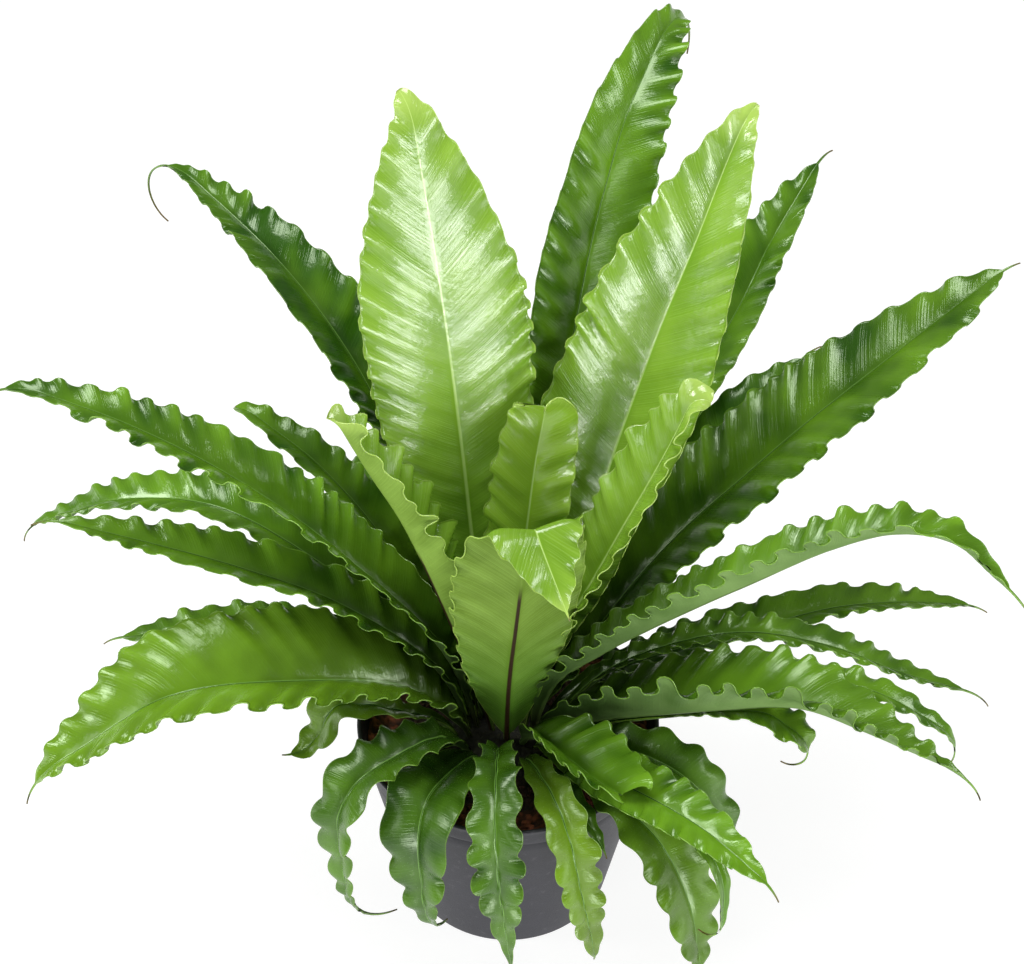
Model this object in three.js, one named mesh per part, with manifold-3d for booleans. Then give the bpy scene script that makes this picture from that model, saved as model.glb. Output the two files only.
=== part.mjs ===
// Bird's nest fern with waved fronds in a round tapered pot.
// Millimetres, +Z up. The origin is the centre of the pot's resting face.
import * as THREE from 'three';
import { mergeVertices } from 'three/addons/utils/BufferGeometryUtils.js';
import Module from 'manifold-3d';

// Pot
const POT_HEIGHT = 140;
const POT_RIM_RADIUS = 95;
const POT_BASE_RADIUS = 65;
const POT_WALL = 3;
const POT_BAND_HEIGHT = 15;
const POT_BAND_STEP = 1.2;
const POT_FLOOR = 4;
const POT_CHAMFER = 2;
const POT_LIP = 0.8;
const POT_SEGMENTS = 40;

// Soil
const GAP = 0.3;
const SOIL_TOP = 127;
const SOIL_LUMP = 1.6;
const SOIL_BROAD_WAVE = [0.11, 0.13];
const SOIL_FINE_WAVE = [0.31, 0.27];
const SOIL_RINGS = [48, 55, 62, 70, 79];
const SOIL_SEGMENTS = 32;

// Crown that the fronds grow from
const CROWN_RADIUS = 44;
const CROWN_BOTTOM = 98;
const CROWN_TOP = 133;
const CROWN_FOOT = 0.5;
const CROWN_SHOULDER = 0.9;
const CROWN_BROW = 0.55;
const CROWN_TAPER = 10;
const CROWN_RISE = 3;
const CROWN_DOME = 1;
const CROWN_SEGMENTS = 24;
const SOCKET_RADIUS = 3.2;
const SOCKET_MOUTH = 4;
const SOCKET_SIDES = 6;
const SOCKET_FLOOR = 116;
const SOCKET_OVER = 3;
const STALK_FOOT = SOCKET_FLOOR + GAP;

// Frond blade
const STALK_HALF = 2;
const STALK_LENGTH = 22;
const NECK_HEIGHT = 135;
const NECK_LEAN = 1.5;
const STALK_THICKNESS = 2.2;
const STALK_SHARE = 0.14;
const BLADE_THICKNESS = 0.9;
const RIB_DEPTH = 1.6;
const TIP_HALF = 0.8;
const WAVE_LENGTH = 22;
const WAVE_START = 14;
const WAVE_END = 0.99;
const WAVE_IN = 1.2;
const WAVE_SHIFT = 0.25;
const FULL_WAVE_HALF = 18;
const INNER_LINE = 0.55;
const STATION_SPREAD = 1.15;
const TAIL_STEPS = 40;
const TANGENT_STEP = 0.004;
const MERGE_DISTANCE = 1e-4;

const COLOURS = {
  pot: 0x46444d,
  soil: 0x3a2014,
  crown: 0x2b1d12,
  young: 0x86b442,
  mature: 0x3f701f,
};

// Each frond as seen from the front (-Y). azimuth is in degrees from +X towards +Y, and swing
// is added to it from base to tip. foot is the stalk's distance from the axis. path is
// [reach, height] from above the neck to where the tip starts to curl, and curl is
// [length, turn in degrees] of the tip. thread is how much of its end is a bare thread, half
// the half width, peak the place of the widest point, flare how slowly the blade widens, fold
// the rise of its two halves [base, tip] and roll the turn about the midrib [base, tip] in
// degrees, wave the height of the edge's waves, taper how soon the blade narrows, and stations
// the number of steps that its midrib is drawn in.
const FROND_SHAPE = {
  swing: 0, thread: 18, peak: 0.5, flare: 1.5, taper: 0.65, fold: [40, 20], roll: [0, 0],
  wave: 2.6, stations: 10, young: false,
};
const FRONDS = [
  { foot: 8, azimuth: 126, path: [[24, 210], [41, 300], [55, 388], [69, 463], [84, 530]], curl: [26, 60],
    half: 48, peak: 0.66, flare: 2.4, taper: 0.95, fold: [14, -8], roll: [-14, -32], wave: 2.2, thread: 4,
    stations: 14, young: true },
  { foot: 9, azimuth: 68, swing: -4,
    path: [[36, 210], [77, 343], [105, 406], [134, 454], [158, 490], [194, 514]],
    curl: [80, 150], half: 33, peak: 0.55, flare: 2, fold: [30, 16], roll: [28, 36], thread: 30,
    stations: 15 },
  { foot: 16, azimuth: 36,
    path: [[48, 222], [84, 333], [114, 412], [138, 466], [161, 513]], curl: [18, 40],
    half: 50, peak: 0.6, flare: 2.4, taper: 0.85, fold: [32, 26], roll: [14, 32], wave: 2.2, thread: 4,
    stations: 12, young: true },
  { foot: 23, azimuth: 50,
    path: [[70, 200], [140, 272], [222, 332], [256, 368], [300, 396]], curl: [24, 50],
    half: 27, peak: 0.62, stations: 12 },
  { foot: 16, azimuth: 140,
    path: [[42, 224], [86, 320], [130, 376], [180, 413], [244, 437]], curl: [84, 190],
    half: 28, peak: 0.52, taper: 0.8, thread: 60, stations: 13 },
  { foot: 16, azimuth: 20,
    path: [[40, 172], [98, 250], [158, 301], [237, 359], [304, 404]], curl: [20, 30],
    half: 41, peak: 0.55, fold: [30, 8], thread: 12, stations: 12 },
  { foot: 24, azimuth: 38, path: [[60, 172], [120, 231], [180, 287], [232, 312]], curl: [20, 40],
    half: 24, peak: 0.6 },
  { foot: 0, azimuth: 52, path: [[5, 190], [18, 280], [28, 340], [33, 364]], curl: [26, -150],
    half: 25, peak: 0.7, taper: 0.5, fold: [30, 0], roll: [10, 26], wave: 1.8, thread: 4, young: true },
  { foot: 9, azimuth: 191, path: [[21, 180], [42, 256], [61, 314], [80, 358], [93, 390]], curl: [14, 120],
    half: 26, peak: 0.62, flare: 1.3, fold: [56, 40], wave: 2.4, thread: 12, young: true },
  { foot: 9, azimuth: 355, path: [[27, 200], [61, 290], [79, 336], [91, 368], [101, 398]], curl: [16, 120],
    half: 26, peak: 0.72, flare: 2.8, fold: [44, 30], wave: 2.2, thread: 12, young: true },
  { foot: 9, azimuth: 264, swing: 28,
    path: [[18, 170], [30, 235], [40, 300], [46, 336], [53, 345], [61, 339]], curl: [44, 20],
    half: 40, peak: 0.6, flare: 1.1, fold: [24, 0], wave: 2.2, thread: 6, young: true },
  { foot: 18, azimuth: 176,
    path: [[39, 199], [95, 270], [157, 329], [220, 370], [258, 386]], curl: [46, 70],
    half: 27, stations: 11 },
  { foot: 24, azimuth: 163,
    path: [[60, 195], [120, 241], [186, 270], [249, 260], [304, 229]], curl: [34, 50],
    half: 21, fold: [30, 20], stations: 12 },
  { foot: 23, azimuth: 180,
    path: [[42, 184], [100, 240], [153, 268], [210, 290], [254, 304]], curl: [26, 50],
    half: 22, fold: [30, 20] },
  { foot: 18, azimuth: 152,
    path: [[40, 174], [68, 222], [97, 268], [130, 299], [168, 319]], curl: [20, 50],
    half: 19, peak: 0.55 },
  { foot: 24, azimuth: 196,
    path: [[34, 150], [67, 188], [140, 214], [210, 220], [268, 190]], curl: [50, 50],
    half: 47, peak: 0.46, flare: 1.4, taper: 0.8, fold: [32, 24], wave: 3 },
  { foot: 32, azimuth: 168, path: [[70, 162], [140, 184], [200, 178], [250, 160]], curl: [20, 30],
    half: 20, fold: [25, 15] },
  { foot: 32, azimuth: 201, path: [[44, 154], [70, 173], [94, 187], [109, 191], [117, 184], [120, 176]],
    curl: [34, -100], half: 13, peak: 0.72, flare: 2.5, fold: [30, 10], roll: [0, -20], thread: 6 },
  { foot: 32, azimuth: 226,
    path: [[62, 170], [100, 181], [128, 180], [143, 164], [144, 122]], curl: [98, 70],
    half: 19, peak: 0.36, flare: 2, taper: 1.5, fold: [25, 15], thread: 20 },
  { foot: 32, azimuth: 236, swing: 14,
    path: [[70, 156], [106, 166], [122, 150], [128, 115]], curl: [60, 80],
    half: 25, peak: 0.42, taper: 1, fold: [20, 10], thread: 6 },
  { foot: 29, azimuth: 261, swing: 10,
    path: [[50, 166], [85, 177], [107, 168], [121, 143], [127, 105], [127, 62]],
    curl: [14, 30], half: 19, taper: 1.1, fold: [30, 0], wave: 3, thread: 4 },
  { foot: 32, azimuth: 284, swing: 10, path: [[50, 152], [90, 160], [116, 145], [128, 105], [131, 62]],
    curl: [14, 30], half: 14, peak: 0.5, fold: [30, 10], wave: 2.2, thread: 6 },
  { foot: 23, azimuth: 314,
    path: [[40, 143], [70, 152], [95, 158], [139, 168], [172, 172], [204, 169]], curl: [24, 50],
    half: 20, peak: 0.45, fold: [20, 16], roll: [14, 10], thread: 14 },
  { foot: 15, azimuth: 306, path: [[28, 148], [60, 158], [92, 165], [116, 173]], curl: [14, 20],
    half: 31, peak: 0.58, taper: 0.5, fold: [46, 34], roll: [-18, -12], thread: 4 },
  { foot: 32, azimuth: 313, path: [[60, 139], [95, 143], [117, 140], [138, 130], [162, 97], [173, 61]],
    curl: [12, 20], half: 21, peak: 0.65, fold: [20, 5], thread: 6 },
  { foot: 37, azimuth: 322, swing: -11,
    path: [[70, 147], [92, 149.5], [115, 151], [152, 155], [174, 149], [184, 137], [189, 116]],
    curl: [30, 120], half: 7, peak: 0.55, flare: 2, fold: [20, 10], wave: 1.2, thread: 22 },
  { foot: 35, azimuth: 333,
    path: [[60, 147], [90, 152], [108, 151], [128, 142], [142, 124], [154, 104]], curl: [36, 160],
    half: 20, fold: [25, 15], roll: [16, 0], thread: 26 },
  { foot: 23, azimuth: 341,
    path: [[29, 143], [60, 162], [99, 181], [140, 199], [182, 212], [222, 206], [262, 197]],
    curl: [44, 60], half: 41, peak: 0.42, flare: 1, taper: 1.2, fold: [42, 34], roll: [-26, -12], wave: 3 },
  { foot: 15, azimuth: 338,
    path: [[30, 184], [60, 221], [91, 254], [142, 304], [190, 350], [228, 374], [258, 377], [282, 361]],
    curl: [36, 30], half: 21, fold: [50, 44], thread: 26, stations: 13 },
  { foot: 24, azimuth: 14, path: [[60, 163], [113, 175], [160, 181], [209, 188], [257, 181], [293, 171]],
    curl: [32, 30], half: 18, fold: [30, 20] },
  { foot: 28, azimuth: 3.5,
    path: [[60, 178], [110, 204], [148, 208], [204, 190], [243, 168], [288, 147]], curl: [26, 40],
    half: 13, peak: 0.6, flare: 2, fold: [30, 15], thread: 26 },
  { foot: 36, azimuth: 352, swing: -2.5,
    path: [[60, 154], [110, 180], [150, 198], [190, 209], [226, 204], [258, 187]],
    curl: [46, 100], half: 11, peak: 0.68, fold: [25, 15], wave: 2 },
  { foot: 33, azimuth: 346, swing: -5,
    path: [[60, 153], [105, 174], [140, 190], [163, 196], [178, 190]], curl: [45, 190],
    half: 14, peak: 0.8, flare: 10, fold: [24, 10], thread: 26 },
  { foot: 30, azimuth: 214, path: [[42, 143], [60, 150], [78, 153], [92, 150]], curl: [16, 60],
    half: 8, peak: 0.55, flare: 2.5, fold: [30, 10], thread: 4 },
  { foot: 30, azimuth: 298, path: [[50, 140], [75, 146], [95, 147], [110, 144]], curl: [18, 40],
    half: 8, flare: 2.5, fold: [15, 0], thread: 6 },
  { foot: 31, azimuth: 66, path: [[70, 175], [120, 210], [180, 228], [220, 210]], curl: [30, 30],
    half: 30, fold: [30, 15], wave: 2.8 },
  { foot: 24, azimuth: 87, path: [[60, 190], [110, 235], [160, 250], [200, 235]], curl: [30, 30],
    half: 28, fold: [30, 15], wave: 2.8 },
  { foot: 31, azimuth: 106, path: [[70, 175], [130, 205], [190, 200], [230, 180]], curl: [30, 30],
    half: 30, fold: [30, 15], wave: 2.8 },
  { foot: 24, azimuth: 128, path: [[60, 180], [110, 222], [150, 235], [180, 225]], curl: [30, 30],
    half: 28, fold: [30, 15], wave: 2.8 },
].map((frond, i) => ({ ...FROND_SHAPE, ...frond, name: `frond_${String(i + 1).padStart(2, '0')}` }));

const radians = THREE.MathUtils.degToRad;
const lerp = THREE.MathUtils.lerp;
const smooth = (x) => THREE.MathUtils.smoothstep(x, 0, 1);

// Spine of a frond in its own upright plane: a curve through the path's points, then the
// curled tip as an arc that tightens. at(s) gives [reach, height] for s from 0 to 1.
function spineOf(frond) {
  const path = [[frond.foot, STALK_FOOT], [frond.foot + NECK_LEAN, NECK_HEIGHT], ...frond.path]
    .map(([reach, height]) => new THREE.Vector3(reach, 0, height));
  const stem = new THREE.CatmullRomCurve3(path, false, 'centripetal');
  const [tailLength, turn] = frond.curl;
  const stemLength = stem.getLength();
  const last = stem.getPointAt(1);
  const heading = stem.getTangentAt(1);
  const start = Math.atan2(heading.z, heading.x);
  const total = stemLength + tailLength;
  const step = tailLength / TAIL_STEPS;
  const tail = [last.clone()];
  for (let i = 1; i <= TAIL_STEPS; i++) {
    const part = (i - 0.5) / TAIL_STEPS;
    const angle = start - radians(turn) * part * (0.5 + 0.5 * part);
    const from = tail[i - 1];
    tail.push(new THREE.Vector3(from.x + step * Math.cos(angle), 0, from.z + step * Math.sin(angle)));
  }
  return {
    length: total,
    at(s) {
      const along = THREE.MathUtils.clamp(s, 0, 1) * total;
      if (along <= stemLength) {
        const point = stem.getPointAt(along / stemLength);
        return [point.x, point.z];
      }
      const place = (along - stemLength) / step;
      const index = Math.min(Math.floor(place), TAIL_STEPS - 1);
      const point = tail[index].clone().lerp(tail[index + 1], place - index);
      return [point.x, point.z];
    },
  };
}

// Midrib point, and the frame there: side across the blade and normal of its upper face
function frameOf(frond, spine, s) {
  const place = (t) => {
    const [reach, height] = spine.at(t);
    const angle = radians(frond.azimuth + frond.swing * t);
    return new THREE.Vector3(reach * Math.cos(angle), reach * Math.sin(angle), height);
  };
  const near = Math.max(s - TANGENT_STEP, 0);
  const far = Math.min(s + TANGENT_STEP, 1);
  const tangent = place(far).sub(place(near)).normalize();
  const angle = radians(frond.azimuth + frond.swing * s);
  const side = new THREE.Vector3(-Math.sin(angle), Math.cos(angle), 0);
  side.addScaledVector(tangent, -side.dot(tangent)).normalize();
  const roll = radians(lerp(frond.roll[0], frond.roll[1], s));
  side.applyAxisAngle(tangent, roll);
  const normal = new THREE.Vector3().crossVectors(tangent, side);
  return { point: place(s), side, normal };
}

// Half width of the blade: a narrow stalk, a slow flare, a taper and a thread at the tip
function halfWidth(frond, spine, s) {
  const start = STALK_LENGTH / spine.length;
  const end = 1 - frond.thread / spine.length;
  if (s <= frond.peak) {
    const rise = THREE.MathUtils.clamp((s - start) / (frond.peak - start), 0, 1);
    return STALK_HALF + (frond.half - STALK_HALF) * Math.sin((Math.PI / 2) * rise) ** frond.flare;
  }
  const fall = THREE.MathUtils.clamp((s - frond.peak) / (end - frond.peak), 0, 1);
  return TIP_HALF + (frond.half - TIP_HALF) * Math.cos((Math.PI / 2) * fall) ** frond.taper;
}

// A point of the upper face: u from 0 at the midrib to 1 at the edge, hand -1 or 1,
// crest -1 to 1 for the wave of the edge
function bladePoint(frond, spine, s, hand, u, crest) {
  const { point, side, normal } = frameOf(frond, spine, s);
  const half = halfWidth(frond, spine, s);
  const room = smooth(half / FULL_WAVE_HALF);
  const width = half + WAVE_IN * crest * room;
  const fold = radians(lerp(frond.fold[0], frond.fold[1], s));
  const height = width * u * Math.sin(fold) + frond.wave * room * crest;
  return point.clone()
    .addScaledVector(side, hand * width * u * Math.cos(fold))
    .addScaledVector(normal, height);
}

function bladeThickness(frond, s, u) {
  const open = smooth(s / STALK_SHARE);
  const stalk = (STALK_THICKNESS - BLADE_THICKNESS) * (1 - open);
  const rib = u === 0 ? RIB_DEPTH * (1 - s) * open : 0;
  return BLADE_THICKNESS + stalk + rib;
}

// Five lines along the blade: the waved edges, a line inside each, and the midrib
function bladeLines(frond, spine) {
  const neck = STALK_LENGTH / spine.length;
  const even = [{ s: 0, crest: 0 }];
  for (let i = 0; i <= frond.stations; i++) {
    even.push({ s: 1 - (1 - neck) * (1 - i / frond.stations) ** STATION_SPREAD, crest: 0 });
  }
  const waves = Math.round(spine.length / WAVE_LENGTH);
  const edge = (shift) => {
    const points = [{ s: 0, crest: 0 }, { s: neck, crest: 0 }];
    for (let k = 0; k < 2 * waves; k++) {
      const s = (k + 0.5 + shift) / (2 * waves);
      if (s > neck + WAVE_START / spine.length && s < WAVE_END) {
        points.push({ s, crest: k % 2 ? 1 : -1 });
      }
    }
    points.push({ s: 1, crest: 0 });
    return points;
  };
  return [
    { hand: -1, u: 1, marks: edge(WAVE_SHIFT) },
    { hand: -1, u: INNER_LINE, marks: even },
    { hand: 1, u: 0, marks: even },
    { hand: 1, u: INNER_LINE, marks: even },
    { hand: 1, u: 1, marks: edge(-WAVE_SHIFT) },
  ];
}

// Triangles between two neighbouring lines, always stepping along the line that lags
function stitch(a, b, startA, startB) {
  const faces = [];
  let i = 0;
  let j = 0;
  while (i < a.length - 1 || j < b.length - 1) {
    const nextA = i < a.length - 1 ? a[i + 1].s : Infinity;
    const nextB = j < b.length - 1 ? b[j + 1].s : Infinity;
    if (nextA <= nextB) {
      faces.push([startA + i, startA + i + 1, startB + j]);
      i += 1;
    } else {
      faces.push([startA + i, startB + j + 1, startB + j]);
      j += 1;
    }
  }
  return faces;
}

// Closed blade: the same triangles on the upper and the lower face, joined round the rim
function frondGeometry(frond) {
  const spine = spineOf(frond);
  const lines = bladeLines(frond, spine);
  const upper = [];
  const lower = [];
  const starts = [];
  for (const line of lines) {
    starts.push(upper.length);
    for (const { s, crest } of line.marks) {
      const top = bladePoint(frond, spine, s, line.hand, line.u, crest);
      const { normal } = frameOf(frond, spine, s);
      upper.push(top);
      lower.push(top.clone().addScaledVector(normal, -bladeThickness(frond, s, line.u)));
    }
  }
  const faces = [];
  for (let i = 0; i < lines.length - 1; i++) {
    faces.push(...stitch(lines[i].marks, lines[i + 1].marks, starts[i], starts[i + 1]));
  }
  const ends = lines.map((line, i) => starts[i] + line.marks.length - 1);
  const rim = [];
  for (let i = starts[0]; i < ends[0]; i++) {
    rim.push([i, i + 1]);
  }
  for (let i = 0; i < lines.length - 1; i++) {
    rim.push([starts[i + 1], starts[i]]);
    rim.push([ends[i], ends[i + 1]]);
  }
  for (let i = starts.at(-1); i < ends.at(-1); i++) {
    rim.push([i + 1, i]);
  }
  const count = upper.length;
  const index = [];
  for (const [a, b, c] of faces) {
    index.push(a, b, c, count + a, count + c, count + b);
  }
  for (const [a, b] of rim) {
    index.push(a, count + a, count + b, a, count + b, b);
  }
  const geometry = new THREE.BufferGeometry().setFromPoints([...upper, ...lower]);
  geometry.setIndex(index);
  return geometry;
}

const lathe = (profile, segments) => new THREE.LatheGeometry(
  profile.map(([x, y]) => new THREE.Vector2(x, y)), segments,
).rotateX(Math.PI / 2);

// Inner face of the pot's wall
const potInside = (z) => lerp(POT_BASE_RADIUS, POT_RIM_RADIUS, z / POT_HEIGHT) - POT_WALL;

// Pot: tapered wall, closed floor, and a band round the rim that stands slightly proud
function potGeometry() {
  const band = POT_HEIGHT - POT_BAND_HEIGHT;
  const outside = (z) => lerp(POT_BASE_RADIUS, POT_RIM_RADIUS - POT_BAND_STEP, z / POT_HEIGHT);
  const profile = [
    [0, 0], [POT_BASE_RADIUS - POT_CHAMFER, 0], [outside(POT_CHAMFER), POT_CHAMFER],
    [outside(band), band], [outside(band) + POT_BAND_STEP, band + POT_BAND_STEP],
    [POT_RIM_RADIUS, POT_HEIGHT - POT_LIP], [POT_RIM_RADIUS - POT_LIP, POT_HEIGHT],
    [potInside(POT_HEIGHT) + POT_LIP, POT_HEIGHT], [potInside(POT_HEIGHT), POT_HEIGHT - POT_LIP],
    [potInside(POT_FLOOR), POT_FLOOR], [0, POT_FLOOR],
  ];
  return lathe(profile, POT_SEGMENTS);
}

function soilHeight(x, y) {
  const broad = Math.sin(SOIL_BROAD_WAVE[0] * x + 1) * Math.cos(SOIL_BROAD_WAVE[1] * y);
  const fine = Math.sin(SOIL_FINE_WAVE[0] * x - SOIL_FINE_WAVE[1] * y);
  return SOIL_TOP + SOIL_LUMP * (broad + 0.5 * fine);
}

// Soil: a plug that fills the pot, its top raised into lumps by a formula
function soilGeometry() {
  const bottom = POT_FLOOR + GAP;
  const edge = potInside(SOIL_TOP) - GAP;
  const rings = SOIL_RINGS.map((radius) => [radius, SOIL_TOP]).reverse();
  const geometry = lathe([
    [0, bottom], [potInside(bottom) - GAP, bottom], [edge, SOIL_TOP], ...rings, [0, SOIL_TOP],
  ], SOIL_SEGMENTS);
  const place = geometry.attributes.position;
  for (let i = 0; i < place.count; i++) {
    const x = place.getX(i);
    const y = place.getY(i);
    if (place.getZ(i) > SOIL_TOP - SOIL_LUMP && Math.hypot(x, y) < edge - GAP) {
      place.setZ(i, soilHeight(x, y));
    }
  }
  return geometry;
}

// Crown: a low dome half sunk in the soil, made larger by grow to cut its own bed
function crownGeometry(grow) {
  const radius = (share) => CROWN_RADIUS * share + grow;
  return lathe([
    [0, CROWN_BOTTOM - grow], [radius(CROWN_FOOT), CROWN_BOTTOM - grow],
    [radius(1), CROWN_BOTTOM + CROWN_TAPER], [radius(1), SOIL_TOP - CROWN_DOME],
    [radius(CROWN_SHOULDER), SOIL_TOP + CROWN_RISE + grow],
    [radius(CROWN_BROW), CROWN_TOP - CROWN_DOME + grow],
    [0, CROWN_TOP + grow],
  ], CROWN_SEGMENTS);
}

// Straight round hole that a stalk stands in
function socketGeometry(frond) {
  const spine = spineOf(frond);
  const foot = frameOf(frond, spine, 0).point;
  const out = frameOf(frond, spine, STALK_LENGTH / spine.length).point.sub(foot).normalize();
  const length = CROWN_TOP + SOCKET_OVER - SOCKET_FLOOR;
  const socket = new THREE.CylinderGeometry(SOCKET_MOUTH, SOCKET_RADIUS, length, SOCKET_SIDES);
  socket.translate(0, length / 2 - GAP, 0);
  socket.applyQuaternion(new THREE.Quaternion().setFromUnitVectors(new THREE.Vector3(0, 1, 0), out));
  return socket.translate(foot.x, foot.y, foot.z);
}

const wasm = await Module();
wasm.setup();

function toSolid(geometry) {
  const bare = geometry.clone();
  bare.deleteAttribute('normal');
  bare.deleteAttribute('uv');
  const merged = mergeVertices(bare, MERGE_DISTANCE);
  return new wasm.Manifold(new wasm.Mesh({
    numProp: 3,
    vertProperties: new Float32Array(merged.attributes.position.array),
    triVerts: new Uint32Array(merged.index.array),
  }));
}

function toGeometry(solid) {
  const mesh = solid.getMesh();
  const geometry = new THREE.BufferGeometry();
  geometry.setAttribute('position', new THREE.BufferAttribute(mesh.vertProperties, 3));
  geometry.setIndex(new THREE.BufferAttribute(mesh.triVerts, 1));
  return geometry;
}

function addMesh(group, name, geometry, colour, roughness) {
  const material = new THREE.MeshStandardMaterial({ color: colour, roughness, metalness: 0 });
  const mesh = new THREE.Mesh(geometry, material);
  mesh.name = name;
  group.add(mesh);
}

const group = new THREE.Group();
addMesh(group, 'pot', potGeometry(), COLOURS.pot, 0.6);
const soil = toSolid(soilGeometry()).subtract(toSolid(crownGeometry(GAP)));
addMesh(group, 'soil', toGeometry(soil), COLOURS.soil, 1);
let crown = toSolid(crownGeometry(0));
for (const frond of FRONDS) {
  crown = crown.subtract(toSolid(socketGeometry(frond)));
}
addMesh(group, 'crown', toGeometry(crown), COLOURS.crown, 0.9);
for (const frond of FRONDS) {
  addMesh(group, frond.name, frondGeometry(frond), frond.young ? COLOURS.young : COLOURS.mature, 0.45);
}

export default group;
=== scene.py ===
import math

import bpy
import numpy as np
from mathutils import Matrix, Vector, kdtree


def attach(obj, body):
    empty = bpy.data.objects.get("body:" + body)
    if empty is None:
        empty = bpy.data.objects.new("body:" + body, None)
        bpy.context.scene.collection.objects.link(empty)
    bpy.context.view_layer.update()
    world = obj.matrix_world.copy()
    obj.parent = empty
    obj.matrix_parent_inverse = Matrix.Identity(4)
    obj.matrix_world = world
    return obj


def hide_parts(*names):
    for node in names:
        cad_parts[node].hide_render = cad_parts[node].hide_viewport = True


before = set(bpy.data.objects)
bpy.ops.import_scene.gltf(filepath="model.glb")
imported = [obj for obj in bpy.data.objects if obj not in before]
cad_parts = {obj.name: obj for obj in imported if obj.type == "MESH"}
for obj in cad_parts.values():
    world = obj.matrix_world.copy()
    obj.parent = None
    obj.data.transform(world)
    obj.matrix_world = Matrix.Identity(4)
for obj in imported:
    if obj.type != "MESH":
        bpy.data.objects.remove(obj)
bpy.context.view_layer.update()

MM = 0.001
SEED = 11

# Camera at the photograph's viewing angle
CAMERA_PLACE = (0.0025, -1.046, 1.246)
CAMERA_TILT = 49
CAMERA_LENS = 84.68
CAMERA_SENSOR = 36

# Pot, in millimetres
POT_HEIGHT = 140
POT_RIM_RADIUS = 95
POT_BASE_RADIUS = 65
POT_WALL = 3
POT_BAND_HEIGHT = 15
POT_BAND_STEP = 1.2
POT_FLOOR = 4
POT_SEGMENTS = 160
POT_FOOT_ROUND = 2
POT_LIP_ROUND = 1.2

# Rows of points up the pot's wall, and those of its lip that have the inside's material, which
# is painted darker as shade
POT_WALL_ROWS = 14
POT_LIP_INSIDE = 5

# Soil and crown, in millimetres
GAP = 0.3
SOIL_TOP = 127
SOIL_LUMP = 1.6
SOIL_BROAD_WAVE = (0.11, 0.13)
SOIL_FINE_WAVE = (0.31, 0.27)
CROWN_RADIUS = 44
CROWN_BOTTOM = 98
CROWN_TOP = 133
CROWN_DROP = 6

# Where the crown's top starts to fall and over how far it does, as shares of its radius
CROWN_SHOULDER = (0.45, 0.55)

# Grids of the soil and crown as (rings, points round), and the cells that their tops are split
# into. A relief is how much a cell rises at most and at least and how far all sink, a crevice
# the width of the dip between two cells, and an inner radius where the grid ends.
SOIL_GRID = (52, 260)
SOIL_INNER = 34
SOIL_CELLS = 1500
SOIL_RELIEF = (2.4, 0.4, 1.1)
CROWN_GRID = (40, 180)
CROWN_INNER = 0.8
CROWN_CELLS = 500
CROWN_RELIEF = (1.6, 0.3, 0.4)
CREVICE = 1.6

# Loose chips on the soil: how many, half the size of one, and the ring that they lie in
CHIPS = 420
CHIP_HALF = (2.8, 1.3, 0.8)
CHIPS_INNER = 46
CHIPS_FROM_EDGE = 6
CHIP_LIFT = 0.9

# What the shader is told of the points under the top, as (tone, painted crevice shade, shade)
HIDDEN_TONE = (0.3, 0.5, 0)

# Soil nearer the axis than this is in the fronds' shade, which fades out over SHADE_FADE
SHADE_RADIUS = 76
SHADE_FADE = 14

# Frond stalk and blade, in millimetres
STALK_FOOT = 116.3
STALK_HALF = 2
STALK_LENGTH = 22
STALK_THICKNESS = 2.2
STALK_ROUNDING = 0.6
NECK_HEIGHT = 135
NECK_LEAN = 1.5
BLADE_THICKNESS = 0.7
RIB_DEPTH = 1.9
RIB_WIDTH = 1.5
GROOVE_WIDTH = 1.7

# Where along its thread a tip starts to turn brown, as a share, and how soon it is all brown
DRY_START = 0.3
DRY_PACE = 1.5

# The share of a frond's length over which its stalk opens, what its flare is multiplied by, and
# the share of its width that is left at the end of its thread
STALK_SHARE = 0.14
FLARE_SHARE = 0.62
THREAD_SHARE = 0.4

# Points of a blade: steps along it in millimetres, and places from the midrib to the edge
TAIL_STEPS = 40
STEM_DIVISIONS = 60
STEP = 1.45
NEAR_RIB = (0.55, 1.3, 2.6)
NEAR_RIB_SHARE = (0.1, 0.2, 0.3)
TO_EDGE = (0.1, 0.22, 0.35, 0.48, 0.6, 0.71, 0.81, 0.89, 0.95, 1.0)

# Unevenness along a blade, as (size, millimetres between its random values)
SWAY = (1.6, 70)
TWIST = (4, 60)
UNEVEN_WIDTH = (0.035, 40)
UNEVEN_LENGTH = (0.32, 28)
UNEVEN_STRENGTH = (0.45, 15)
UNEVEN_PLEATS = (0.7, 30)

# Where sway and waves begin along a blade and how far they take to grow, in millimetres
SWAY_START = (50, 80)
WAVES_START = (34, 40)

# The half widths from which the waves are at full height and at full length, in millimetres
FULL_HEIGHT_HALF = 14
FULL_LENGTH_HALF = 16
SHORTEST_WAVE = 0.6

# Shares of the waves and pleats that run at half and at double pace, the range that the phase of
# the slow ones is drawn from, how soon waves die out inwards, the most that they fold over, and
# how far from the midrib the pleats begin
SLOW_RUFFLE = 0.3
SLOW_PLEAT = 0.6
QUICK_PLEAT = 0.1
ANY_PHASE = 6
RUFFLE_POWER = 1.3
MOST_SLIDE = 1.3
PLEAT_MARGIN = 4

# Floor, in metres, and its light
FLOOR_REACH = 30
FLOOR_GLOW = 0.85
WORLD_LIGHT = 0.16

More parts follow.
